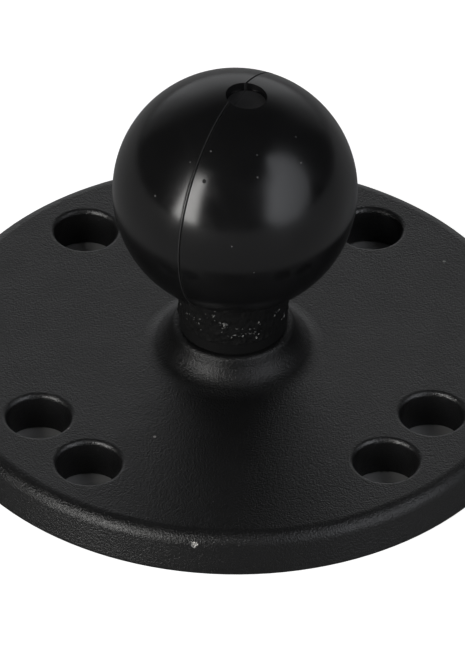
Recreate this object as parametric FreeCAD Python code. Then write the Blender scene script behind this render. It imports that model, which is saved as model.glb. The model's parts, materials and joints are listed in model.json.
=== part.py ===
import FreeCAD, Part
import math
import os

# Round ball-mount base: a rubber-covered 25 mm ball on a stud, held by one screw in a
# die-cast round plate with a four-hole rectangle and a three-hole circle for mounting.
# Millimetres. The origin is the centre of the plate's underside, +Z runs up the stud,
# and the plate's front, where the two pairs of holes sit close together, is -Y.

# --- plate ---------------------------------------------------------------------------
PLATE_FOOT_RADIUS = 31.75
PLATE_TOP_RADIUS = 30.9
PLATE_THICKNESS = 4.5
RIM_ROUND = 1.5
FOOT_ROUND = 0.4
BOSS_HEIGHT = 3.0
BOSS_FOOT_RADIUS = 7.3
BOSS_TOP_RADIUS = 6.2
BOSS_FOOT_FILLET = 3.0
BOSS_TOP_ROUND = 0.6

# --- mounting holes ------------------------------------------------------------------
HOLE_RADIUS = 3.3
HOLE_LIP_ROUND = 0.5
HOLE_FOOT_CHAMFER = 0.3
RECTANGLE_X = 30.17
RECTANGLE_Y = 38.10
CIRCLE_RADIUS = 23.25
CIRCLE_ANGLES = (90, 210, 330)

# --- underside -----------------------------------------------------------------------
POCKET_INNER_RADIUS = 10.0
POCKET_OUTER_RADIUS = 18.6
POCKET_DEPTH = 1.6
POCKET_DRAFT = 0.25
POCKET_CORNER = 0.8
POCKET_FLOOR_ROUND = 0.4
RIB_COUNT = 6
RIB_WIDTH = 1.8
RIB_TURN = 30

# --- rubber-covered ball -------------------------------------------------------------
BALL_RADIUS = 12.5
BALL_HEIGHT = 24.5
RUBBER_THICKNESS = 2.1
SLEEVE_RADIUS = 5.75
SLEEVE_FILLET = 0.6
SLEEVE_FOOT_ROUND = 0.3
DIMPLE_RADIUS = 2.1
DIMPLE_CENTRE = (1.0, -0.3)
DIMPLE_WALL_DEPTH = 1.05
DIMPLE_DISH = 0.3

# --- stud ----------------------------------------------------------------------------
NECK_RADIUS = 4.75
FOOT_FLANGE_RADIUS = 5.6
FOOT_FLANGE_THICKNESS = 1.2
HEX_ACROSS_FLATS = 8.0
HEX_CLEARANCE = 0.05
HEX_DEPTH = 1.5
HEX_END_GAP = 0.1
KEY_GROOVE_RADIUS = 1.0
KEY_FLAT_REACH = 9.5
TAPPED_DEPTH = 12.0
LEAD_IN_FLARE = 0.3
LEAD_IN_DEPTH = 0.9

# --- M6 screw and lock washer --------------------------------------------------------
THREAD_RADIUS = 3.0
THREAD_PITCH = 1.0
THREAD_CORE_RADIUS = 2.4
THREAD_TIP_HALF_WIDTH = 0.0625
THREAD_ROOT_SINK = 0.1
THREAD_START_SHIFT = 0.13
THREAD_PLAY = 0.04
TAPPED_CORE_PLAY = 0.06
SCREW_LENGTH = 12.0
SCREW_TIP_CHAMFER = 0.8
HEAD_RADIUS = 5.0
HEAD_HEIGHT = 3.5
HEAD_RECESS = 0.4
HEAD_ROUND = 0.5
SOCKET_ACROSS_FLATS = 4.0
SOCKET_DEPTH = 2.1
COUNTERBORE_RADIUS = 5.6
SCREW_HOLE_RADIUS = 3.3
WASHER_INNER_RADIUS = 3.2
WASHER_OUTER_RADIUS = 4.95
WASHER_THICKNESS = 0.8
WASHER_TEETH = 20
WASHER_TOOTH_DEPTH = 0.18

# --- heights worked out from the above -----------------------------------------------
BOSS_TOP = PLATE_THICKNESS + BOSS_HEIGHT
HEX_FLOOR = BOSS_TOP - HEX_DEPTH
HEAD_TOP = HEAD_RECESS + HEAD_HEIGHT
COUNTERBORE_TOP = HEAD_TOP + WASHER_THICKNESS
SLEEVE_FOOT = BOSS_TOP + FOOT_FLANGE_THICKNESS
STUD_FOOT = HEX_FLOOR + HEX_END_GAP
CORE_RADIUS = BALL_RADIUS - RUBBER_THICKNESS
BALL_TOP = BALL_HEIGHT + BALL_RADIUS
SLOP = 1.0
TOUCH = 0.01

UP = FreeCAD.Vector(0, 0, 1)
ACROSS = FreeCAD.Vector(1, 0, 0)
ORIGIN = FreeCAD.Vector(0, 0, 0)
BALL_CENTRE = FreeCAD.Vector(0, 0, BALL_HEIGHT)


def at(x, y, z=0.0):
    """A point, or a direction."""
    return FreeCAD.Vector(x, y, z)


def around(angle, radius, z=0.0):
    """The point at an angle in degrees and a radius from the stud's axis."""
    turn = math.radians(angle)
    return at(radius * math.cos(turn), radius * math.sin(turn), z)


def cylinder(radius, bottom, top, centre=ORIGIN):
    return Part.makeCylinder(radius, top - bottom, at(centre.x, centre.y, bottom), UP)


def rounded_wire(corners):
    """A closed wire in the XZ plane through (radius, height, rounding) corners."""
    points = [at(radius, 0, height) for radius, height, _ in corners]
    edges, starts, ends = [], [], []
    count = len(points)
    for index, (_, _, rounding) in enumerate(corners):
        here = points[index]
        back = (points[index - 1] - here).normalize()
        onward = (points[(index + 1) % count] - here).normalize()
        if not rounding:
            starts.append(here)
            ends.append(here)
            edges.append(None)
            continue
        half = back.getAngle(onward) / 2
        reach = rounding / math.tan(half)
        middle = (back + onward).normalize()
        start = here + back * reach
        end = here + onward * reach
        crown = here + middle * (rounding / math.sin(half) - rounding)
        starts.append(start)
        ends.append(end)
        edges.append(Part.Arc(start, crown, end).toShape())
    outline = []
    for index in range(count):
        if edges[index]:
            outline.append(edges[index])
        following = starts[(index + 1) % count]
        if (following - ends[index]).Length > 1e-6:
            outline.append(Part.LineSegment(ends[index], following).toShape())
    return Part.Wire(outline)


def turned(corners):
    """The solid made by turning rounded corners about the stud's axis."""
    return Part.Face(rounded_wire(corners)).revolve(ORIGIN, UP, 360)


def hexagon(across_flats, bottom, top):
    corner = across_flats / math.sqrt(3)
    points = [around(60 * step, corner, bottom) for step in range(7)]
    return Part.Face(Part.makePolygon(points)).extrude(at(0, 0, top - bottom))


def hole_centres():
    """The four corners of the rectangle, then the three points of the circle."""
    rectangle = [
        at(x * RECTANGLE_X / 2, y * RECTANGLE_Y / 2) for x in (-1, 1) for y in (-1, 1)
    ]
    return rectangle + [around(angle, CIRCLE_RADIUS) for angle in CIRCLE_ANGLES]


def mounting_hole(centre):
    """A cutter for one mounting hole: rounded lip on top, small chamfer underneath."""
    lip = HOLE_RADIUS + HOLE_LIP_ROUND
    lip_start = PLATE_THICKNESS - HOLE_LIP_ROUND
    bend = HOLE_LIP_ROUND * (1 - math.sqrt(0.5))
    foot = HOLE_RADIUS + HOLE_FOOT_CHAMFER
    straight = [
        at(0, 0, PLATE_THICKNESS),
        at(0, 0, -SLOP),
        at(foot, 0, -SLOP),
        at(foot, 0, 0),
        at(HOLE_RADIUS, 0, HOLE_FOOT_CHAMFER),
        at(HOLE_RADIUS, 0, lip_start),
    ]
    wall = Part.makePolygon(straight).Edges
    crown = at(HOLE_RADIUS + bend, 0, PLATE_THICKNESS - bend)
    rounding = Part.Arc(straight[-1], crown, at(lip, 0, PLATE_THICKNESS)).toShape()
    rim = [at(lip, 0, PLATE_THICKNESS), at(lip, 0, BOSS_TOP), at(0, 0, BOSS_TOP), straight[0]]
    outline = Part.Wire(wall + [rounding] + Part.makePolygon(rim).Edges)
    cutter = Part.Face(outline).revolve(ORIGIN, UP, 360)
    return cutter.translated(centre)


def underside_pockets():
    """The ring of shallow pockets between the ribs, as one set of cutters."""
    ring = turned(
        [
            (POCKET_INNER_RADIUS, 0, 0),
            (POCKET_OUTER_RADIUS, 0, 0),
            (POCKET_OUTER_RADIUS - POCKET_DRAFT, POCKET_DEPTH, 0),
            (POCKET_INNER_RADIUS + POCKET_DRAFT, POCKET_DEPTH, 0),
        ]
    )
    rib = Part.makeBox(
        POCKET_OUTER_RADIUS + SLOP,
        RIB_WIDTH,
        POCKET_DEPTH + 3 * SLOP,
        at(0, -RIB_WIDTH / 2, -2 * SLOP),
    )
    step = 360 / RIB_COUNT
    for index in range(RIB_COUNT):
        ring = ring.cut(rib.rotated(ORIGIN, UP, RIB_TURN + index * step))
    return [rounded_pocket(pocket) for pocket in ring.Solids]


def rounded_pocket(cutter):
    """Rounds a pocket cutter's corners from its mouth down, then its floor's outline."""
    corners = [
        edge
        for edge in cutter.Edges
        if edge.BoundBox.ZMin < TOUCH and edge.BoundBox.ZMax > POCKET_DEPTH - TOUCH
    ]
    cutter = cutter.makeFillet(POCKET_CORNER, corners)
    floor = [edge for edge in cutter.Edges if edge.BoundBox.ZMin > POCKET_DEPTH - TOUCH]
    return cutter.makeFillet(POCKET_FLOOR_ROUND, floor)


def base_plate():
    blank = turned(
        [
            (0, 0, 0),
            (PLATE_FOOT_RADIUS, 0, FOOT_ROUND),
            (PLATE_TOP_RADIUS, PLATE_THICKNESS, RIM_ROUND),
            (BOSS_FOOT_RADIUS, PLATE_THICKNESS, BOSS_FOOT_FILLET),
            (BOSS_TOP_RADIUS, BOSS_TOP, BOSS_TOP_ROUND),
            (0, BOSS_TOP, 0),
        ]
    )
    cutters = [mounting_hole(centre) for centre in hole_centres()]
    cutters += underside_pockets()
    cutters.append(cylinder(COUNTERBORE_RADIUS, -SLOP, COUNTERBORE_TOP))
    cutters.append(cylinder(SCREW_HOLE_RADIUS, 0, BOSS_TOP))
    cutters.append(
        hexagon(HEX_ACROSS_FLATS + 2 * HEX_CLEARANCE, HEX_FLOOR, BOSS_TOP + SLOP)
    )
    return blank.cut(cutters)


def thread(core_radius, play, envelope):
    """A threaded rod inside an envelope: a plain core and a helical ridge round it."""
    root = core_radius - THREAD_ROOT_SINK
    tip = THREAD_RADIUS + play
    tip_half = THREAD_TIP_HALF_WIDTH + play
    root_half = tip_half + (tip - root) * math.tan(math.radians(30))
    start = HEX_FLOOR - 3 * THREAD_PITCH + THREAD_START_SHIFT
    length = SCREW_LENGTH + 5 * THREAD_PITCH
    helix = Part.makeHelix(THREAD_PITCH, length, THREAD_RADIUS)
    helix.translate(at(0, 0, start))
    ridge = Part.makePolygon(
        [
            at(root, 0, start - root_half),
            at(tip, 0, start - tip_half),
            at(tip, 0, start + tip_half),
            at(root, 0, start + root_half),
            at(root, 0, start - root_half),
        ]
    )
    sweep = Part.Wire(helix.Edges).makePipeShell([ridge], True, True)
    core = cylinder(core_radius, 0, BALL_TOP).common(envelope)
    return core.fuse(sweep.common(envelope))


def rubber_keys():
    """Cutters for what keys the rubber to the stud: a groove and two opposite flats."""
    groove = Part.makeTorus(CORE_RADIUS, KEY_GROOVE_RADIUS, BALL_CENTRE, UP)
    block = Part.makeBox(
        SLOP + CORE_RADIUS - KEY_FLAT_REACH,
        2 * CORE_RADIUS,
        2 * CORE_RADIUS,
        at(KEY_FLAT_REACH, -CORE_RADIUS, BALL_HEIGHT - CORE_RADIUS),
    )
    return [groove, block, block.rotated(ORIGIN, UP, 180)]


def stud_blank():
    """The stud before it is tapped."""
    foot = turned(
        [
            (0, BOSS_TOP, 0),
            (FOOT_FLANGE_RADIUS, BOSS_TOP, 0),
            (FOOT_FLANGE_RADIUS, SLEEVE_FOOT, 0),
            (NECK_RADIUS, SLEEVE_FOOT, 0),
            (NECK_RADIUS, BALL_HEIGHT, 0),
            (0, BALL_HEIGHT, 0),
        ]
    )
    head = Part.makeSphere(CORE_RADIUS, BALL_CENTRE)
    blank = foot.fuse(head).cut(rubber_keys())
    return blank.fuse(hexagon(HEX_ACROSS_FLATS, STUD_FOOT, BOSS_TOP)).removeSplitter()


def ball_stud(blank):
    top = HEX_FLOOR + TAPPED_DEPTH
    envelope = cylinder(THREAD_RADIUS + SLOP, STUD_FOOT - SLOP, top)
    tapped = thread(THREAD_CORE_RADIUS + TAPPED_CORE_PLAY, THREAD_PLAY, envelope)
    drill_point = Part.makeCone(THREAD_CORE_RADIUS, 0, THREAD_CORE_RADIUS / 2, at(0, 0, top), UP)
    mouth = THREAD_RADIUS + LEAD_IN_FLARE
    lead_in = Part.makeCone(mouth, THREAD_CORE_RADIUS, LEAD_IN_DEPTH, at(0, 0, STUD_FOOT), UP)
    return blank.cut([tapped, drill_point, lead_in])


def ball_cover(blank):
    sleeve = turned(
        [
            (0, SLEEVE_FOOT, 0),
            (SLEEVE_RADIUS, SLEEVE_FOOT, SLEEVE_FOOT_ROUND),
            (SLEEVE_RADIUS, BALL_HEIGHT, 0),
            (0, BALL_HEIGHT, 0),
        ]
    )
    skin = sleeve.fuse(Part.makeSphere(BALL_RADIUS, BALL_CENTRE))
    joint = [
        edge
        for edge in skin.Edges
        if abs(edge.BoundBox.XLength - 2 * SLEEVE_RADIUS) < TOUCH
        and SLEEVE_FOOT + SLOP < edge.BoundBox.ZMax < BALL_HEIGHT
        and edge.BoundBox.ZLength < TOUCH
    ]
    skin = skin.makeFillet(SLEEVE_FILLET, joint)
    dimple = DIMPLE_CENTRE
    floor = BALL_TOP - DIMPLE_WALL_DEPTH
    wall = cylinder(DIMPLE_RADIUS, floor, BALL_TOP + SLOP, at(*dimple))
    dish_radius = (DIMPLE_RADIUS**2 + DIMPLE_DISH**2) / (2 * DIMPLE_DISH)
    dish = Part.makeSphere(dish_radius, at(*dimple, floor - DIMPLE_DISH + dish_radius))
    dish = dish.common(cylinder(DIMPLE_RADIUS, floor - SLOP, floor, at(*dimple)))
    return skin.cut([blank, wall.fuse(dish)])


def retaining_screw():
    end = HEAD_TOP + SCREW_LENGTH
    head = turned(
        [
            (0, HEAD_RECESS, 0),
            (HEAD_RADIUS, HEAD_RECESS, HEAD_ROUND),
            (HEAD_RADIUS, HEAD_TOP, 0),
            (0, HEAD_TOP, 0),
        ]
    )
    envelope = turned(
        [
            (0, HEAD_TOP - SLOP / 2, 0),
            (THREAD_RADIUS + SLOP, HEAD_TOP - SLOP / 2, 0),
            (THREAD_RADIUS + SLOP, end - SCREW_TIP_CHAMFER - SLOP, 0),
            (THREAD_RADIUS - SCREW_TIP_CHAMFER, end, 0),
            (0, end, 0),
        ]
    )
    shank = thread(THREAD_CORE_RADIUS, 0.0, envelope)
    socket = hexagon(SOCKET_ACROSS_FLATS, HEAD_RECESS - SLOP, HEAD_RECESS + SOCKET_DEPTH)
    return head.fuse(shank).cut(socket).removeSplitter()


def lock_washer():
    ring = cylinder(WASHER_OUTER_RADIUS, HEAD_TOP, COUNTERBORE_TOP)
    ring = ring.cut(cylinder(WASHER_INNER_RADIUS, HEAD_TOP, COUNTERBORE_TOP))
    step = 360 / WASHER_TEETH
    half = WASHER_OUTER_RADIUS * math.radians(step) / 5
    notches = []
    for face, inward in ((HEAD_TOP, 1), (COUNTERBORE_TOP, -1)):
        profile = Part.makePolygon(
            [
                at(0, -half, face),
                at(0, half, face),
                at(0, half, face + inward * WASHER_TOOTH_DEPTH),
                at(0, -half, face),
            ]
        )
        notch = Part.Face(profile).extrude(ACROSS * (WASHER_OUTER_RADIUS + SLOP))
        notches += [notch.rotated(ORIGIN, UP, index * step) for index in range(WASHER_TEETH)]
    return ring.cut(notches)


def main():
    os.makedirs("parts", exist_ok=True)
    blank = stud_blank()
    nodes = {
        "base_plate": base_plate(),
        "ball_stud": ball_stud(blank),
        "ball_cover": ball_cover(blank),
        "retaining_screw": retaining_screw(),
        "lock_washer": lock_washer(),
    }
    for name, shape in nodes.items():
        shape.exportStep(f"parts/{name}.step")
        print(name, len(shape.Solids), "solid", round(shape.Volume, 1), "mm3", shape.isValid())


main()
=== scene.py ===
import bmesh
import bpy
import json
import math
import random
from mathutils import Matrix, Vector


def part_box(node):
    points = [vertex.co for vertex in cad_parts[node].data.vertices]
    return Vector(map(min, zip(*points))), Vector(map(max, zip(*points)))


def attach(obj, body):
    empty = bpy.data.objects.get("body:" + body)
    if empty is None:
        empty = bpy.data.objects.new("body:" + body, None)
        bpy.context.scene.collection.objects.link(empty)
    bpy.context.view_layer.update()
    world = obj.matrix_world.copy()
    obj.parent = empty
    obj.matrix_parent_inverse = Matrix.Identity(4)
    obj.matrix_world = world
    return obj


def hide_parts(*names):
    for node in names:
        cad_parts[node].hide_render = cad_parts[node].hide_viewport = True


# A rubber-covered ball on a round powder-coated plate, standing on a pale table between
# two soft lamps. Metres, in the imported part's own frame: +Z up, -Y to the front.

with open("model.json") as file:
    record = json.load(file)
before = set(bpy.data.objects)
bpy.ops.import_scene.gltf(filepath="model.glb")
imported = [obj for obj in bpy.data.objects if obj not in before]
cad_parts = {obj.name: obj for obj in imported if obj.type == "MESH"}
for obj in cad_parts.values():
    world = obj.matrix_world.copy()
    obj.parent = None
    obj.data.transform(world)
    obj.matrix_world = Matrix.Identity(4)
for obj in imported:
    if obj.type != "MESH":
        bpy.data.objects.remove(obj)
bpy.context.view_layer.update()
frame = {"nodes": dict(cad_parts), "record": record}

MM = 0.001

# --- the rubber-covered ball ----------------------------------------------------------
MOUNTS = {mount["name"]: mount for mount in frame["record"]["mounts"]}
BALL_CENTRE = Vector(MOUNTS["ball"]["pos_m"])
COVER_LOW, COVER_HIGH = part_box("ball_cover")
BALL_RADIUS = (COVER_HIGH.x - COVER_LOW.x) / 2
RUBBER_THICKNESS = 2.1 * MM
SLEEVE_RADIUS = 5.75 * MM
SLEEVE_BORE = 4.75 * MM
SLEEVE_FILLET = 0.15 * MM
SLEEVE_STEPS = 16
MERIDIANS = 192
PARALLELS = 96
SEAM_TURN = math.radians(61.6)
SEAM_NORMAL = Vector((math.sin(SEAM_TURN), -math.cos(SEAM_TURN), 0))
SEAM_SIDE = 0.11 * MM
SEAM_PROUD = 0.015 * MM
SEAM_DEPTH = 0.11 * MM
SEAM_END = 0.6 * MM
DIMPLE_CENTRE = Vector((1.0, -0.3, 0)) * MM
DIMPLE_RADIUS = 2.1 * MM
DIMPLE_DEPTH = 1.05 * MM
DIMPLE_DISH = 0.3 * MM
DISH_SHARES = (0.077, 0.11, 0.154, 0.22, 0.33)
TORN_TOP = 13.2 * MM
SLEEVE_FOOT_ROUND = 0.25 * MM

PIN_MARK = Vector((-3.4, -8.9, 8.1)) * MM

# patches of flash on the neck: degrees round from the front, height in mm, spread, count
FLASH_PATCHES = (
    (-52, 10.8, 0.8, 10),
    (-36, 11.4, 1.0, 9),
    (-22, 12.9, 0.7, 7),
    (-12, 11.2, 0.7, 12),
    (0, 10.2, 0.7, 7),
    (12, 10.4, 0.8, 7),
    (26, 10.3, 0.8, 10),
    (48, 11.6, 0.5, 5),
    (62, 10.1, 0.5, 6),
    (120, 11.0, 2.5, 12),
    (200, 11.0, 2.5, 14),
    (265, 11.0, 2.0, 10),
)

# --- the plate --------------------------------------------------------------------------
PLATE_TOP = 4.5 * MM
CHIP_PLACE = Vector((-4.65, -31.05, 3.6)) * MM

# --- the studio ---------------------------------------------------------------------------
WALL_BRIGHTNESS = 0.65
ROOM_BRIGHTNESS = 0.025
UNDER_PLATE = 31.3 * MM
LAMP_DISTANCE = 0.8
LAMP_GLOW_WIDTH = 0.16
STRIP_BRIGHTNESS = 8.5
UMBRELLA_EDGE = -0.22
TABLE_SIZE = 8
TABLE_GLOW = 0.95
CAMERA_LENS = 389.65
CAMERA_DISTANCE = 0.72334
CAMERA_TURN = -1.945
CAMERA_RISE = 39.107
CAMERA_ROLL = 0.853
AIM_UP = 2.095 * MM
AIM_LEFT = 0.032 * MM

# brightness of the wall by height, and across it, as (place, brightness)
WALL_UPWARDS = ((0.0, 1), (0.37, 1), (0.5, 0.58), (0.59, 0.32), (0.67, 0.16), (0.76, 0.0))
WALL_SIDEWAYS = ((0.57, 0.0), (0.77, 0.25), (0.87, 0.55), (0.95, 1))


# --- modelling helpers --------------------------------------------------------------------


def only(piece):
    """Makes a piece the active object and the only one selected."""
    bpy.ops.object.select_all(action="DESELECT")
    piece.select_set(True)
    bpy.context.view_layer.objects.active = piece


def edit(piece):
    """Opens a piece in edit mode with nothing selected."""
    only(piece)
    bpy.ops.object.mode_set(mode="EDIT")
    bpy.ops.mesh.select_all(action="DESELECT")


def leave_edit():
    bpy.ops.object.mode_set(mode="OBJECT")


def pick(kind, test):
    """In edit mode, selects just the verts, edges or faces that pass a test of their points."""
    mesh = bmesh.from_edit_mesh(bpy.context.object.data)
    bpy.ops.mesh.select_mode(type={"verts": "VERT", "edges": "EDGE", "faces": "FACE"}[kind])
    bpy.ops.mesh.select_all(action="DESELECT")
    for element in getattr(mesh, kind):
        points = [element.co] if kind == "verts" else [vert.co for vert in element.verts]
        if test(points):
            element.select_set(True)
    mesh.select_flush_mode()
    bmesh.update_edit_mesh(bpy.context.object.data)


def finish_piece(piece, name, material, angle):
    """Applies a piece's place, smooths it, and hangs it on the root body."""
    only(piece)
    bpy.ops.object.transform_apply(location=True, rotation=True, scale=True)
    bpy.ops.object.shade_smooth_by_angle(angle=math.radians(angle))
    piece.name = piece.data.name = name
    piece.data.materials.clear()
    piece.data.materials.append(material)
    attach(piece, "root")


# --- materials: shared node groups ----------------------------------------------------------


def add(tree, kind, values=None, **settings):
    """Adds a shader node, sets its properties, then its input values or links by name."""
    made = tree.nodes.new("ShaderNode" + kind)
    for key, value in settings.items():
        setattr(made, key, value)
    for key, value in (values or {}).items():
        socket = made.inputs[key]
        if isinstance(value, bpy.types.NodeSocket):
            tree.links.new(value, socket)
        else:
            socket.default_value = value
    return made


def arithmetic(tree, operation, first, second=0.0, clamp=False):
    made = add(tree, "Math", {0: first, 1: second}, operation=operation, use_clamp=clamp)
    return made.outputs[0]


def remap(tree, value, low, high, to_low=0.0, to_high=1.0, smooth=True):
    values = {"Value": value, "From Min": low, "From Max": high, "To Min": to_low, "To Max": to_high}
    kind = "SMOOTHSTEP" if smooth else "LINEAR"
    return add(tree, "MapRange", values, interpolation_type=kind).outputs["Result"]


def blend(tree, amount, first, second):
    """One colour passing into another."""
    values = {0: amount, 6: first, 7: second}
    return add(tree, "Mix", values, data_type="RGBA").outputs[2]


def new_group(name, inputs, outputs):
    """An empty node group with named float or vector inputs and outputs."""
    tree = bpy.data.node_groups.new(name, "ShaderNodeTree")
    for label, default in inputs:
        kind = "NodeSocketVector" if isinstance(default, tuple) else "NodeSocketFloat"
        socket = tree.interface.new_socket(label, in_out="INPUT", socket_type=kind)
        socket.default_value = default
    for label in outputs:
        tree.interface.new_socket(label, in_out="OUTPUT", socket_type="NodeSocketFloat")
    source = tree.nodes.new("NodeGroupInput").outputs
    sink = tree.nodes.new("NodeGroupOutput").inputs
    return tree, source, sink


def use(tree, group, values):
    """Places a node group in a material and returns its outputs."""
    placed = tree.nodes.new("ShaderNodeGroup")
    placed.node_tree = group
    for key, value in values.items():
        if isinstance(value, bpy.types.NodeSocket):
            tree.links.new(value, placed.inputs[key])
        else:
            placed.inputs[key].default_value = value
    return placed.outputs


def spot_group():
    """A ragged spot round one point: 1 inside, 0 outside."""
    inputs = [("Place", (0.0, 0.0, 0.0)), ("Radius", 0.0005), ("Ragged", 0.5), ("Soft", 0.2)]
    tree, source, sink = new_group("spot", inputs, ["Mask"])
    here = add(tree, "TexCoord").outputs["Object"]
    gap = add(tree, "VectorMath", {0: here, 1: source["Place"]}, operation="DISTANCE")
    ratio = arithmetic(tree, "DIVIDE", gap.outputs["Value"], source["Radius"])
    noise = add(tree, "TexNoise", {"Vector": here, "Scale": 3000.0, "Detail": 3.0})
    wander = arithmetic(tree, "SUBTRACT", noise.outputs[0], 0.5)
    wander = arithmetic(tree, "MULTIPLY", wander, source["Ragged"])
    ratio = arithmetic(tree, "ADD", ratio, wander)
    inner = arithmetic(tree, "SUBTRACT", 1.0, source["Soft"])
    mask = remap(tree, ratio, inner, 1.0, 1.0, 0.0)
    tree.links.new(mask, sink["Mask"])
    return tree


def grain_group():
    """Orange-peel and fine pimples of a baked powder coat, as a height and a tone."""
    inputs = [("Peel", 1.0), ("Pimples", 1.0)]
    tree, source, sink = new_group("powder grain", inputs, ["Height", "Tone"])
    here = add(tree, "TexCoord").outputs["Object"]
    peel = add(tree, "TexNoise", {"Vector": here, "Scale": 2600.0, "Detail": 4.0, "Roughness": 0.7})
    fine = add(tree, "TexNoise", {"Vector": here, "Scale": 7500.0, "Detail": 2.0, "Roughness": 0.6})
    cells = add(tree, "TexVoronoi", {"Vector": here, "Scale": 5200.0}, feature="SMOOTH_F1")
    wide = add(tree, "TexNoise", {"Vector": here, "Scale": 260.0, "Detail": 4.0, "Roughness": 0.6})
    peel = arithmetic(tree, "MULTIPLY", peel.outputs[0], source["Peel"])
    pimples = arithmetic(tree, "SUBTRACT", fine.outputs[0], cells.outputs["Distance"])
    pimples = arithmetic(tree, "MULTIPLY", pimples, source["Pimples"])
    height = arithmetic(tree, "ADD", peel, pimples)
    tree.links.new(height, sink["Height"])
    tree.links.new(remap(tree, wide.outputs[0], 0.3, 0.7), sink["Tone"])
    return tree


def dust_group():
    """Scattered specks of dust, few and small."""
    inputs = [("Spacing", 0.002), ("Amount", 0.5), ("Size", 0.12)]
    tree, source, sink = new_group("dust", inputs, ["Mask"])
    here = add(tree, "TexCoord").outputs["Object"]
    scale = arithmetic(tree, "DIVIDE", 1.0, source["Spacing"])
    cells = add(tree, "TexVoronoi", {"Vector": here, "Scale": scale})
    parts = add(tree, "SeparateColor", {"Color": cells.outputs["Color"]})
    chosen = arithmetic(tree, "LESS_THAN", parts.outputs[0], source["Amount"])
    size = arithmetic(tree, "MULTIPLY", parts.outputs[1], source["Size"])
    speck = arithmetic(tree, "LESS_THAN", cells.outputs["Distance"], size)
    mask = arithmetic(tree, "MULTIPLY", chosen, speck)
    tree.links.new(mask, sink["Mask"])
    return tree


def new_material(name):
    material = bpy.data.materials.new(name)
    material.use_nodes = True
    tree = material.node_tree
    return material, tree, tree.nodes["Principled BSDF"]


def bump(tree, shader, height, distance, strength=1.0):
    made = add(tree, "Bump", {"Height": height, "Distance": distance, "Strength": strength})
    tree.links.new(made.outputs[0], shader.inputs["Normal"])


def from_axis(tree, parts):
    """Distance of the shaded point from the ball's upright axis."""
    flat = add(tree, "CombineXYZ", {"X": parts.outputs["X"], "Y": parts.outputs["Y"]})
    return add(tree, "VectorMath", {0: flat.outputs[0]}, operation="LENGTH").outputs["Value"]


def marks(tree, spot, places, ragged):
    """One mask for a handful of small spots, each a place and a radius in millimetres."""
    total = 0.0
    for x, y, z, radius in places:
        values = {"Place": Vector((x, y, z)) * MM, "Radius": radius * MM, "Ragged": ragged}
        total = arithmetic(tree, "MAXIMUM", use(tree, spot, values)["Mask"], total)
    return total


def specks_on_ball(count):
    """Dust over the front of the ball: places and radii in millimetres."""
    dice = random.Random(5)
    specks = []
    for _ in range(count):
        outwards = direction(dice.uniform(-50, 50), dice.uniform(-5, 60))
        place = (BALL_CENTRE + outwards * BALL_RADIUS) / MM
        specks.append((*place, dice.uniform(0.07, 0.12)))
    return specks


def spots_on_plate(seed, count):
    """Small marks over the plate's top: places and radii in millimetres."""
    dice = random.Random(seed)
    spots = []
    for _ in range(count):
        around, out = dice.uniform(0, 2 * math.pi), dice.uniform(12, 29)
        place = (out * math.cos(around), out * math.sin(around), PLATE_TOP / MM)
        spots.append((*place, dice.uniform(0.12, 0.20)))
    return spots


def powder_coat(spot, grain, dust):
    material, tree, shader = new_material("black powder coat")
    peel = use(tree, grain, {"Peel": 0.6, "Pimples": 0.5})
    black = blend(tree, peel["Tone"], (0.0040, 0.0040, 0.0041, 1), (0.0056, 0.0056, 0.0058, 1))
    chip = use(tree, spot, {"Place": CHIP_PLACE, "Radius": 0.55 * MM, "Ragged": 0.9})["Mask"]
    specks = use(tree, dust, {"Spacing": 3.2 * MM, "Amount": 0.25, "Size": 0.05})["Mask"]
    colour = blend(tree, specks, black, (0.10, 0.095, 0.09, 1))
    colour = blend(tree, marks(tree, spot, spots_on_plate(2, 4), 0.5), colour, (0.30, 0.29, 0.28, 1))
    pits = marks(tree, spot, spots_on_plate(7, 5), 0.5)
    colour = blend(tree, chip, colour, (0.55, 0.54, 0.52, 1))
    tree.links.new(colour, shader.inputs["Base Color"])
    rough = remap(tree, peel["Tone"], 0.0, 1.0, 0.40, 0.34)
    # the coat is rougher on the boss; painted shade: on the boss and round the rim a metallic share of the
    # black colour dims the highlights
    parts = add(tree, "SeparateXYZ", {"Vector": add(tree, "TexCoord").outputs["Object"]})
    reach = from_axis(tree, parts)
    boss = remap(tree, parts.outputs["Z"], PLATE_TOP + 0.02 * MM, PLATE_TOP + 0.4 * MM)
    rim = remap(tree, reach, 30.0 * MM, 30.9 * MM)
    rough = arithmetic(tree, "MAXIMUM", rough, arithmetic(tree, "MULTIPLY", boss, 0.43))
    tree.links.new(rough, shader.inputs["Roughness"])
    # painted shade: a metallic share of the black coat dims the highlights on the boss and rim
    painted_sheen_dimming = arithmetic(tree, "MULTIPLY", boss, 0.55)
    painted_sheen_dimming = arithmetic(tree, "MAXIMUM", painted_sheen_dimming, arithmetic(tree, "MULTIPLY", rim, 0.42))
    tree.links.new(arithmetic(tree, "MAXIMUM", chip, painted_sheen_dimming), shader.inputs["Metallic"])
    shader.inputs["Specular IOR Level"].default_value = 1.0
    height = arithmetic(tree, "SUBTRACT", peel["Height"], chip)
    height = arithmetic(tree, "SUBTRACT", height, pits)
    bump(tree, shader, height, 0.07 * MM)
    return material


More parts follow.
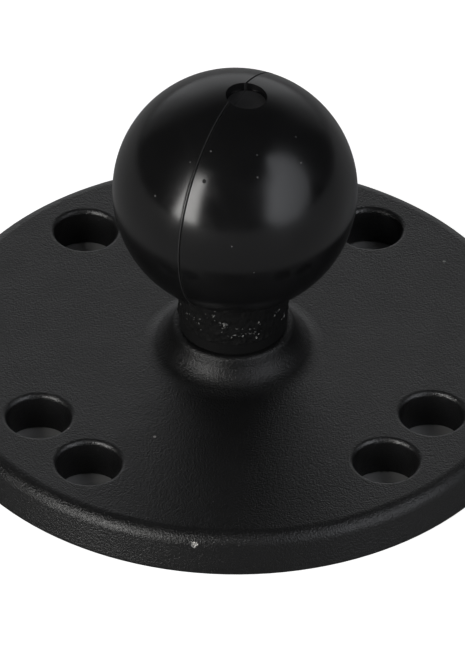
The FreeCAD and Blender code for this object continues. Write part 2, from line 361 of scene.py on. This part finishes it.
def moulded_rubber(spot, dust):
    material, tree, shader = new_material("moulded black rubber")
    here = add(tree, "TexCoord").outputs["Object"]
    parts = add(tree, "SeparateXYZ", {"Vector": here})
    skin = add(tree, "TexNoise", {"Vector": here, "Scale": 900.0, "Detail": 4.0, "Roughness": 0.6})
    smear = add(tree, "TexNoise", {"Vector": here, "Scale": 160.0, "Detail": 3.0, "Distortion": 0.6})
    # the neck below the ball, where the flash was torn off; its darker colour and metallic share are painted
    # shade under the ball
    torn = remap(tree, parts.outputs["Z"], 13.3 * MM, 14.3 * MM, 1.0, 0.0)
    # the floor of the dimple, left dull by the gate; its paler colour is painted light against the shade of
    # the hollow
    dimple = Vector((DIMPLE_CENTRE.x, DIMPLE_CENTRE.y, BALL_CENTRE.z + BALL_RADIUS - DIMPLE_DEPTH))
    gap = add(tree, "VectorMath", {0: here, 1: dimple}, operation="DISTANCE").outputs["Value"]
    dull = remap(tree, gap, 1.90 * MM, 2.05 * MM, 1.0, 0.0)
    # the groove of the parting line: its near-black colour is painted shade, and it is fully rough
    across = add(tree, "VectorMath", {0: here, 1: SEAM_NORMAL}, operation="DOT_PRODUCT")
    beside = arithmetic(tree, "SUBTRACT", across.outputs["Value"], SEAM_SIDE / 2)
    beside = arithmetic(tree, "ABSOLUTE", beside)
    groove = remap(tree, beside, 0.07 * MM, 0.11 * MM, 1.0, 0.0)
    groove = arithmetic(tree, "MULTIPLY", groove, arithmetic(tree, "SUBTRACT", 1.0, torn))
    # painted highlight: a pale line on the ridge beside the groove, standing in for its lit edge
    painted_ridge_highlight = arithmetic(tree, "ADD", across.outputs["Value"], SEAM_SIDE * 0.6)
    painted_ridge_highlight = remap(tree, arithmetic(tree, "ABSOLUTE", painted_ridge_highlight), 0.02 * MM, 0.07 * MM, 0.8, 0.0)
    painted_ridge_highlight = arithmetic(tree, "MULTIPLY", painted_ridge_highlight, arithmetic(tree, "SUBTRACT", 1.0, torn))
    specks = use(tree, dust, {"Spacing": 1.9 * MM, "Amount": 0.2, "Size": 0.05})["Mask"]
    placed = marks(tree, spot, specks_on_ball(8), 0.9)
    specks = arithmetic(tree, "MAXIMUM", specks, placed)
    pin = BALL_CENTRE + PIN_MARK
    mark = use(tree, spot, {"Place": pin, "Radius": 0.22 * MM, "Ragged": 0.2})["Mask"]
    colour_of_skin = blend(tree, smear.outputs[0], (0.0052, 0.0052, 0.0054, 1), (0.0088, 0.0088, 0.0092, 1))
    # painted shade: the neck under the ball is coloured darker than the skin
    colour = blend(tree, torn, colour_of_skin, (0.0030, 0.0030, 0.0030, 1))
    # painted highlight: the lit edge of the seam ridge is coloured pale
    colour = blend(tree, painted_ridge_highlight, colour, (0.050, 0.050, 0.052, 1))
    # painted shade: the parting-line groove is coloured near black
    colour = blend(tree, groove, colour, (0.0006, 0.0006, 0.0006, 1))
    # painted light: the dimple floor is coloured paler against the shade of the hollow
    colour = blend(tree, dull, colour, (0.030, 0.030, 0.031, 1))
    colour = blend(tree, specks, colour, (0.12, 0.12, 0.12, 1))
    tree.links.new(colour, shader.inputs["Base Color"])
    rough = remap(tree, smear.outputs[0], 0.3, 0.7, 0.17, 0.26)
    rough = arithmetic(tree, "MAXIMUM", rough, arithmetic(tree, "MULTIPLY", torn, 0.75))
    rough = arithmetic(tree, "MAXIMUM", rough, arithmetic(tree, "MULTIPLY", dull, 0.6))
    rough = arithmetic(tree, "MAXIMUM", rough, groove)
    rough = arithmetic(tree, "MAXIMUM", rough, arithmetic(tree, "MULTIPLY", mark, 0.7))
    tree.links.new(rough, shader.inputs["Roughness"])
    # painted shade: a metallic share of the dark colour dims the neck's sheen under the ball
    tree.links.new(arithmetic(tree, "MULTIPLY", torn, 0.5), shader.inputs["Metallic"])
    fine = arithmetic(tree, "MULTIPLY", skin.outputs[0], 0.12)
    crumbs = add(tree, "TexNoise", {"Vector": here, "Scale": 2600.0, "Detail": 5.0, "Roughness": 0.7})
    torn_height = arithmetic(tree, "MULTIPLY", crumbs.outputs[0], torn)
    torn_height = arithmetic(tree, "MULTIPLY", torn_height, 3.0)
    height = arithmetic(tree, "ADD", fine, torn_height)
    height = arithmetic(tree, "SUBTRACT", height, mark)
    bump(tree, shader, height, 0.03 * MM)
    return material


def torn_rubber():
    """Crumbs of rubber flash left on the neck, coloured in patches from near black to pale grey."""
    material, tree, shader = new_material("torn rubber flash")
    here = add(tree, "TexCoord").outputs["Object"]
    patch = add(tree, "TexNoise", {"Vector": here, "Scale": 2400.0, "Detail": 3.0})
    shade = remap(tree, patch.outputs[0], 0.42, 0.66)
    colour = blend(tree, shade, (0.02, 0.02, 0.02, 1), (0.27, 0.27, 0.26, 1))
    tree.links.new(colour, shader.inputs["Base Color"])
    tree.links.new(remap(tree, shade, 0.0, 1.0, 0.7, 0.45), shader.inputs["Roughness"])
    fine = add(tree, "TexNoise", {"Vector": here, "Scale": 6000.0, "Detail": 3.0})
    bump(tree, shader, fine.outputs[0], 0.03 * MM)
    return material


def coated_stud():
    """Bare aluminium inside, the plate's black coat on the foot that shows."""
    material, tree, shader = new_material("stud, coated foot")
    here = add(tree, "TexCoord").outputs["Object"]
    parts = add(tree, "SeparateXYZ", {"Vector": here})
    reach = from_axis(tree, parts)
    low = remap(tree, parts.outputs["Z"], 8.9 * MM, 8.8 * MM)
    outer = remap(tree, reach, 4.8 * MM, 4.9 * MM)
    coat = arithmetic(tree, "MULTIPLY", low, outer)
    turning = add(
        tree,
        "TexNoise",
        {"Vector": add(tree, "Mapping", {"Vector": here, "Scale": (40, 40, 9000)}).outputs[0]},
    )
    bare = blend(tree, turning.outputs[0], (0.50, 0.50, 0.51, 1), (0.66, 0.66, 0.67, 1))
    colour = blend(tree, coat, bare, (0.003, 0.003, 0.0031, 1))
    tree.links.new(colour, shader.inputs["Base Color"])
    tree.links.new(remap(tree, coat, 0.0, 1.0, 1.0, 0.5), shader.inputs["Metallic"])
    tree.links.new(remap(tree, coat, 0.0, 1.0, 0.28, 0.7), shader.inputs["Roughness"])
    bump(tree, shader, turning.outputs[0], 0.01 * MM)
    return material


def zinc(name, tint):
    """Bright zinc plating with a faint mottle and fine scratches."""
    material, tree, shader = new_material(name)
    here = add(tree, "TexCoord").outputs["Object"]
    mottle = add(tree, "TexNoise", {"Vector": here, "Scale": 900.0, "Detail": 5.0, "Roughness": 0.65})
    stretched = add(tree, "Mapping", {"Vector": here, "Scale": (9000, 600, 600)})
    scratch = add(tree, "TexNoise", {"Vector": stretched.outputs[0], "Scale": 1.0, "Detail": 2.0})
    dull = tuple(0.72 * part for part in tint)
    colour = blend(tree, mottle.outputs[0], (*dull, 1), (*tint, 1))
    tree.links.new(colour, shader.inputs["Base Color"])
    shader.inputs["Metallic"].default_value = 1.0
    rough = remap(tree, mottle.outputs[0], 0.25, 0.75, 0.24, 0.40)
    tree.links.new(rough, shader.inputs["Roughness"])
    bump(tree, shader, scratch.outputs[0], 0.006 * MM)
    return material


# --- the rubber ball ------------------------------------------------------------------------


def open_sphere(radius, cut_height, name):
    """A sphere round the ball's centre with a meridian on the seam, open below a height."""
    bpy.ops.object.select_all(action="DESELECT")
    bpy.ops.mesh.primitive_uv_sphere_add(
        segments=MERIDIANS,
        ring_count=PARALLELS,
        radius=radius,
        location=BALL_CENTRE,
        rotation=(0, 0, SEAM_TURN),
    )
    sphere = bpy.context.object
    sphere.name = name
    bpy.ops.object.transform_apply(location=True, rotation=True, scale=True)
    edit(sphere)
    bpy.ops.mesh.select_all(action="SELECT")
    bpy.ops.mesh.bisect(
        plane_co=(0, 0, cut_height), plane_no=(0, 0, 1), clear_inner=True, threshold=1e-7
    )
    leave_edit()
    return sphere


def level(height, slack=0.002 * MM):
    """A test for points that all lie at one height."""
    return lambda points: all(abs(point.z - height) < slack for point in points)


def radius_of(point):
    return math.hypot(point.x, point.y)


def extrude_down(amount):
    bpy.ops.mesh.extrude_region_move(TRANSFORM_OT_translate={"value": (0, 0, -amount)})


def rubber_shell():
    """The skin: outer ball, sleeve down the neck, and the hollow that the stud fills."""
    outer_cut = BALL_CENTRE.z - math.sqrt(BALL_RADIUS**2 - SLEEVE_RADIUS**2)
    inner_radius = BALL_RADIUS - RUBBER_THICKNESS
    inner_cut = BALL_CENTRE.z - math.sqrt(inner_radius**2 - SLEEVE_BORE**2)
    shell = open_sphere(BALL_RADIUS, outer_cut, "rubber_ball")
    edit(shell)
    pick("edges", level(outer_cut))
    step = (outer_cut - COVER_LOW.z) / SLEEVE_STEPS
    for _ in range(SLEEVE_STEPS):
        extrude_down(step)
    narrow = SLEEVE_BORE / SLEEVE_RADIUS
    bpy.ops.mesh.extrude_region_move()
    bpy.ops.transform.resize(value=(narrow, narrow, 1), center_override=(0, 0, COVER_LOW.z))
    leave_edit()
    hollow = open_sphere(inner_radius, inner_cut, "hollow")
    edit(hollow)
    bpy.ops.mesh.select_all(action="SELECT")
    bpy.ops.mesh.flip_normals()
    leave_edit()
    only(shell)
    hollow.select_set(True)
    bpy.ops.object.join()
    edit(shell)
    mouth = level(COVER_LOW.z)
    throat = level(inner_cut)

    def bore_edge(points):
        narrow_ring = all(radius_of(point) < SLEEVE_BORE * 1.001 for point in points)
        return narrow_ring and (mouth(points) or throat(points))

    pick("edges", bore_edge)
    bpy.ops.mesh.bridge_edge_loops()
    bpy.ops.mesh.select_all(action="SELECT")
    bpy.ops.mesh.normals_make_consistent(inside=False)
    return shell, outer_cut


def round_under_ball(outer_cut):
    """A small fillet where the ball runs into its sleeve, and a rounded foot."""
    pick("edges", level(outer_cut))
    bpy.ops.mesh.bevel(offset=SLEEVE_FILLET, segments=4, affect="EDGES")

    def foot(points):
        return level(COVER_LOW.z)(points) and all(
            radius_of(point) > SLEEVE_RADIUS * 0.999 for point in points
        )

    pick("edges", foot)
    bpy.ops.mesh.bevel(offset=SLEEVE_FOOT_ROUND, segments=3, affect="EDGES")


def off_seam(point):
    """How far a point lies to the right of the parting plane."""
    return point.dot(SEAM_NORMAL)


def on_ball(point):
    """True for a point of the ball's outer skin, short of the pole inside the dimple."""
    from_centre = (point - BALL_CENTRE).length
    return abs(from_centre - BALL_RADIUS) < 0.002 * MM and radius_of(point) > SEAM_END


def part_the_seam():
    """The mould's parting line right over the ball: a hair-wide ridge beside a groove."""

    def along(offset, slack=0.01 * MM):
        return lambda points: all(
            abs(off_seam(point) - offset) < slack and on_ball(point) for point in points
        )

    pick("edges", along(0.0, 0.002 * MM))
    bpy.ops.mesh.bevel(offset=SEAM_SIDE, segments=4, affect="EDGES")
    pick("verts", along(-SEAM_SIDE / 2))
    bpy.ops.transform.shrink_fatten(value=SEAM_PROUD)
    pick("verts", along(SEAM_SIDE / 2))
    bpy.ops.transform.shrink_fatten(value=-SEAM_DEPTH)


def dimple_cutter():
    """A flared, dish-ended plug that cuts the injection dimple beside the pole."""
    top = BALL_CENTRE.z + BALL_RADIUS
    floor = top - DIMPLE_DEPTH
    height = 2 * DIMPLE_DEPTH
    bpy.ops.object.select_all(action="DESELECT")
    bpy.ops.mesh.primitive_cylinder_add(
        vertices=96,
        radius=DIMPLE_RADIUS,
        depth=height,
        location=(DIMPLE_CENTRE.x, DIMPLE_CENTRE.y, floor + height / 2),
    )
    plug = bpy.context.object
    bpy.ops.object.transform_apply(location=True, rotation=True, scale=True)
    edit(plug)
    pick("faces", level(floor))
    for share in DISH_SHARES:
        bpy.ops.mesh.inset(thickness=DIMPLE_RADIUS * 0.14, depth=DIMPLE_DISH * share)
    leave_edit()
    return plug


def cut_dimple(shell):
    plug = dimple_cutter()
    only(shell)
    cut = shell.modifiers.new("dimple", "BOOLEAN")
    cut.operation = "DIFFERENCE"
    cut.solver = "MANIFOLD"
    cut.object = plug
    bpy.ops.object.modifier_apply(modifier=cut.name)
    bpy.data.objects.remove(plug)


def roughen_sleeve(shell):
    """The neck is torn and lumpy where the moulding flash was broken off."""
    edit(shell)

    def sleeve(points):
        return all(
            point.z < TORN_TOP and radius_of(point) > SLEEVE_RADIUS * 0.985 for point in points
        )

    pick("faces", sleeve)
    bpy.ops.mesh.subdivide(number_cuts=1)
    pick("verts", sleeve)
    leave_edit()
    group = shell.vertex_groups.new(name="sleeve")
    chosen = [vert.index for vert in shell.data.vertices if vert.select]
    group.add(chosen, 1.0, "REPLACE")
    for size, strength in ((1.1 * MM, 0.35 * MM), (0.4 * MM, 0.22 * MM)):
        lumps = bpy.data.textures.new("torn rubber", "CLOUDS")
        lumps.noise_scale = size
        lumps.noise_depth = 3
        push = shell.modifiers.new("torn", "DISPLACE")
        push.texture = lumps
        push.texture_coords = "LOCAL"
        push.vertex_group = group.name
        push.strength = strength
        push.mid_level = 0.62
        only(shell)
        bpy.ops.object.modifier_apply(modifier=push.name)
    shell.vertex_groups.clear()


def rubber_ball(material):
    shell, outer_cut = rubber_shell()
    round_under_ball(outer_cut)
    part_the_seam()
    leave_edit()
    cut_dimple(shell)
    roughen_sleeve(shell)
    finish_piece(shell, "rubber_ball", material, 32)
    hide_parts("ball_cover")
    return shell


def crumb(dice, turn, height, size):
    """One scrap of torn rubber, pressed flat on the neck."""
    bpy.ops.object.select_all(action="DESELECT")
    bpy.ops.mesh.primitive_ico_sphere_add(subdivisions=2, radius=size)
    scrap = bpy.context.object
    edit(scrap)
    bpy.ops.mesh.select_all(action="SELECT")
    bpy.ops.transform.resize(value=(dice.uniform(0.35, 0.6), 1.0, dice.uniform(0.25, 0.9)))
    pick("verts", lambda points: points[0].y > 0.3 * size)
    drawn_out, raised = dice.uniform(0, 0.7) * size, dice.uniform(-0.6, 0.6) * size
    bpy.ops.transform.translate(value=(0, drawn_out, raised))
    leave_edit()
    scrap.rotation_euler = (dice.uniform(-0.9, 0.9), 0, turn - math.pi / 2)
    reach = SLEEVE_RADIUS - 0.02 * MM
    scrap.location = (reach * math.sin(turn), -reach * math.cos(turn), height)
    bpy.ops.object.transform_apply(location=True, rotation=True, scale=True)
    return scrap


def torn_shreds(material):
    """Crumbs of moulding flash left on the neck, thickest at the front and to the left."""
    dice = random.Random(11)
    scraps = []
    for turn, height, spread, count in FLASH_PATCHES:
        for _ in range(count):
            around = math.radians(dice.gauss(turn, 6 * spread))
            level_here = min(max(dice.gauss(height, spread * 0.6), 8.95), 14.0) * MM
            scraps.append(crumb(dice, around, level_here, dice.uniform(0.05, 0.15) * MM))
    only(scraps[0])
    for scrap in scraps:
        scrap.select_set(True)
    bpy.ops.object.join()
    finish_piece(scraps[0], "neck_flash", material, 40)
    return scraps[0]


# --- the studio -------------------------------------------------------------------------------


def direction(azimuth, elevation):
    """A unit vector; azimuth 0 is the front, positive to the right."""
    turn, lift = math.radians(azimuth), math.radians(elevation)
    return Vector((math.sin(turn) * math.cos(lift), -math.cos(turn) * math.cos(lift), math.sin(lift)))


def hang_panel(panel, name, azimuth, elevation, roll, brightness, tint):
    """Turns a flat panel to face the ball and lights it, dimmer towards its right.

    Left of where its brightness starts it only glows faintly, and that low down.
    """
    towards = direction(azimuth, elevation)
    turn = towards.to_track_quat("Z", "Y").to_matrix().to_4x4()
    turn = turn @ Matrix.Rotation(math.radians(-roll), 4, "Z")
    panel.matrix_world = Matrix.Translation(BALL_CENTRE + towards * LAMP_DISTANCE) @ turn
    panel.name = name
    material = bpy.data.materials.new(name)
    material.use_nodes = True
    tree = material.node_tree
    here = add(tree, "SeparateXYZ", {"Vector": add(tree, "TexCoord").outputs["Object"]})
    start, end, first, last = brightness
    bright = remap(tree, here.outputs["X"], start, end, first, last, smooth=False)
    core = arithmetic(tree, "GREATER_THAN", here.outputs["X"], start)
    glow = remap(tree, here.outputs["X"], start - LAMP_GLOW_WIDTH, start)
    glow = arithmetic(tree, "MULTIPLY", glow, remap(tree, here.outputs["Y"], 0.22, -0.05))
    bright = arithmetic(tree, "MULTIPLY", bright, arithmetic(tree, "MAXIMUM", core, glow))
    lit = add(tree, "Emission", {"Color": (*tint, 1), "Strength": bright})
    tree.links.new(lit.outputs[0], tree.nodes["Material Output"].inputs["Surface"])
    panel.data.materials.append(material)


def strip_lamp():
    """The tall lamp to the left, narrower towards its top."""
    bpy.ops.object.select_all(action="DESELECT")
    bpy.ops.mesh.primitive_plane_add(size=1)
    panel = bpy.context.object
    edit(panel)
    bpy.ops.mesh.select_all(action="SELECT")
    bpy.ops.transform.resize(value=(0.34, 0.62, 1))
    pick("edges", lambda points: all(point.y > 0.3 for point in points))
    bpy.ops.transform.resize(value=(0.45, 1, 1), center_override=(0.02, 0.31, 0))
    leave_edit()
    even = (-1, 1, STRIP_BRIGHTNESS, STRIP_BRIGHTNESS)
    hang_panel(panel, "strip lamp", -47, 21, 0, even, (1.0, 0.99, 0.97))


def umbrella_lamp():
    """The broad lamp to the right: a rolled oval with a straight side to the left."""
    bpy.ops.object.select_all(action="DESELECT")
    bpy.ops.mesh.primitive_circle_add(vertices=48, radius=1, fill_type="NGON")
    panel = bpy.context.object
    edit(panel)
    bpy.ops.mesh.select_all(action="SELECT")
    bpy.ops.transform.resize(value=(0.44, 0.47, 1))
    bpy.ops.transform.translate(value=(-0.096, -0.05, 0))
    bpy.ops.mesh.bisect(
        plane_co=(UMBRELLA_EDGE - LAMP_GLOW_WIDTH, 0, 0), plane_no=(1, 0, 0), clear_inner=True, use_fill=False
    )
    leave_edit()
    fading = (UMBRELLA_EDGE, 0.34, 2.1, 0.9)
    hang_panel(panel, "umbrella lamp", 57, 27, 29, fading, (0.93, 0.95, 1.0))


def ramp(tree, value, stops):
    """A brightness that follows a value through (place, brightness) stops."""
    made = add(tree, "ValToRGB", {"Fac": value})
    made.color_ramp.interpolation = "EASE"
    points = made.color_ramp.elements
    while len(points) < len(stops):
        points.new(1.0)
    for point, (place, bright) in zip(points, stops):
        point.position = place
        point.color = (bright, bright, bright, 1)
    return made.outputs["Color"]


def white_wall():
    """A pale wall behind the table, lit low down and fading upwards and to the sides."""
    world = bpy.data.worlds.new("studio")
    bpy.context.scene.world = world
    world.use_nodes = True
    tree = world.node_tree
    look = add(tree, "TexCoord").outputs["Generated"]
    parts = add(tree, "SeparateXYZ", {"Vector": look})
    flat = add(tree, "VectorMath", {0: look, 1: (1, 1, 0)}, operation="MULTIPLY")
    reach = add(tree, "VectorMath", {0: flat.outputs[0]}, operation="LENGTH").outputs["Value"]
    behind = arithmetic(tree, "DIVIDE", parts.outputs["Y"], reach, clamp=True)
    height = arithmetic(tree, "MAXIMUM", parts.outputs["Z"], 0.0)
    upwards = ramp(tree, height, WALL_UPWARDS)
    sideways = ramp(tree, behind, WALL_SIDEWAYS)
    wall = arithmetic(tree, "MULTIPLY", upwards, sideways)
    strength = arithmetic(tree, "MULTIPLY_ADD", wall, WALL_BRIGHTNESS)
    strength.node.inputs[2].default_value = ROOM_BRIGHTNESS
    background = tree.nodes["Background"]
    background.inputs["Color"].default_value = (0.97, 0.98, 1.0, 1)
    tree.links.new(strength, background.inputs["Strength"])


def pale_table():
    bpy.ops.object.select_all(action="DESELECT")
    bpy.ops.mesh.primitive_plane_add(size=TABLE_SIZE)
    table = bpy.context.object
    table.name = "table"
    material = bpy.data.materials.new("pale table")
    material.use_nodes = True
    tree = material.node_tree
    shader = tree.nodes["Principled BSDF"]
    here = add(tree, "TexCoord").outputs["Object"]
    back = add(tree, "SeparateXYZ", {"Vector": here}).outputs["Y"]
    # painted shade: the table is coloured darker towards the front
    shade = remap(tree, back, -0.1, 0.5)
    pale = blend(tree, shade, (0.48, 0.48, 0.48, 1), (0.95, 0.95, 0.95, 1))
    tree.links.new(pale, shader.inputs["Base Color"])
    shader.inputs["Roughness"].default_value = 0.9
    lit = add(tree, "Emission", {"Color": (1, 1, 1, 1), "Strength": TABLE_GLOW})
    reach = add(tree, "VectorMath", {0: here}, operation="LENGTH").outputs["Value"]
    clear = arithmetic(tree, "GREATER_THAN", reach, UNDER_PLATE)
    seen = add(tree, "LightPath").outputs["Is Camera Ray"]
    seen = arithmetic(tree, "MULTIPLY", seen, clear)
    glow = add(tree, "AddShader", {0: shader.outputs[0], 1: lit.outputs[0]})
    mixed = add(tree, "MixShader", {0: seen, 1: shader.outputs[0], 2: glow.outputs[0]})
    tree.links.new(mixed.outputs[0], tree.nodes["Material Output"].inputs["Surface"])
    table.data.materials.append(material)


def studio_camera():
    """A long lens, 39 degrees above the table and a touch to the left of the front."""
    camera_data = bpy.data.cameras.new("camera")
    camera_data.sensor_width = 36.0
    camera_data.lens = CAMERA_LENS
    camera_data.clip_start, camera_data.clip_end = 0.05, 20.0
    camera = bpy.data.objects.new("camera", camera_data)
    bpy.context.scene.collection.objects.link(camera)
    bpy.context.scene.camera = camera
    azimuth, roll = math.radians(CAMERA_TURN), math.radians(CAMERA_ROLL)
    back = direction(CAMERA_TURN, CAMERA_RISE)
    right = Vector((math.cos(azimuth), math.sin(azimuth), 0))
    up = back.cross(right)
    right, up = (
        math.cos(roll) * right + math.sin(roll) * up,
        math.cos(roll) * up - math.sin(roll) * right,
    )
    plate_middle = Vector((0, 0, PLATE_TOP))
    place = plate_middle + back * CAMERA_DISTANCE
    aim = plate_middle + up * AIM_UP - right * AIM_LEFT
    back = (place - aim).normalized()
    right = up.cross(back).normalized()
    up = back.cross(right)
    turn = Matrix((right, up, back)).transposed().to_4x4()
    camera.matrix_world = Matrix.Translation(place) @ turn


def main():
    spot, grain, dust = spot_group(), grain_group(), dust_group()
    coat = powder_coat(spot, grain, dust)
    rubber = moulded_rubber(spot, dust)
    finishes = {
        "base_plate": coat,
        "ball_stud": coated_stud(),
        "retaining_screw": zinc("zinc-plated screw", (0.62, 0.62, 0.63)),
        "lock_washer": zinc("zinc-plated washer", (0.56, 0.56, 0.55)),
    }
    for name, finish in finishes.items():
        for place in frame["nodes"][name].material_slots:
            place.material = finish
    rubber_ball(rubber)
    torn_shreds(torn_rubber())
    strip_lamp()
    umbrella_lamp()
    white_wall()
    pale_table()
    studio_camera()
    view = bpy.context.scene.view_settings
    view.view_transform = "Standard"


main()
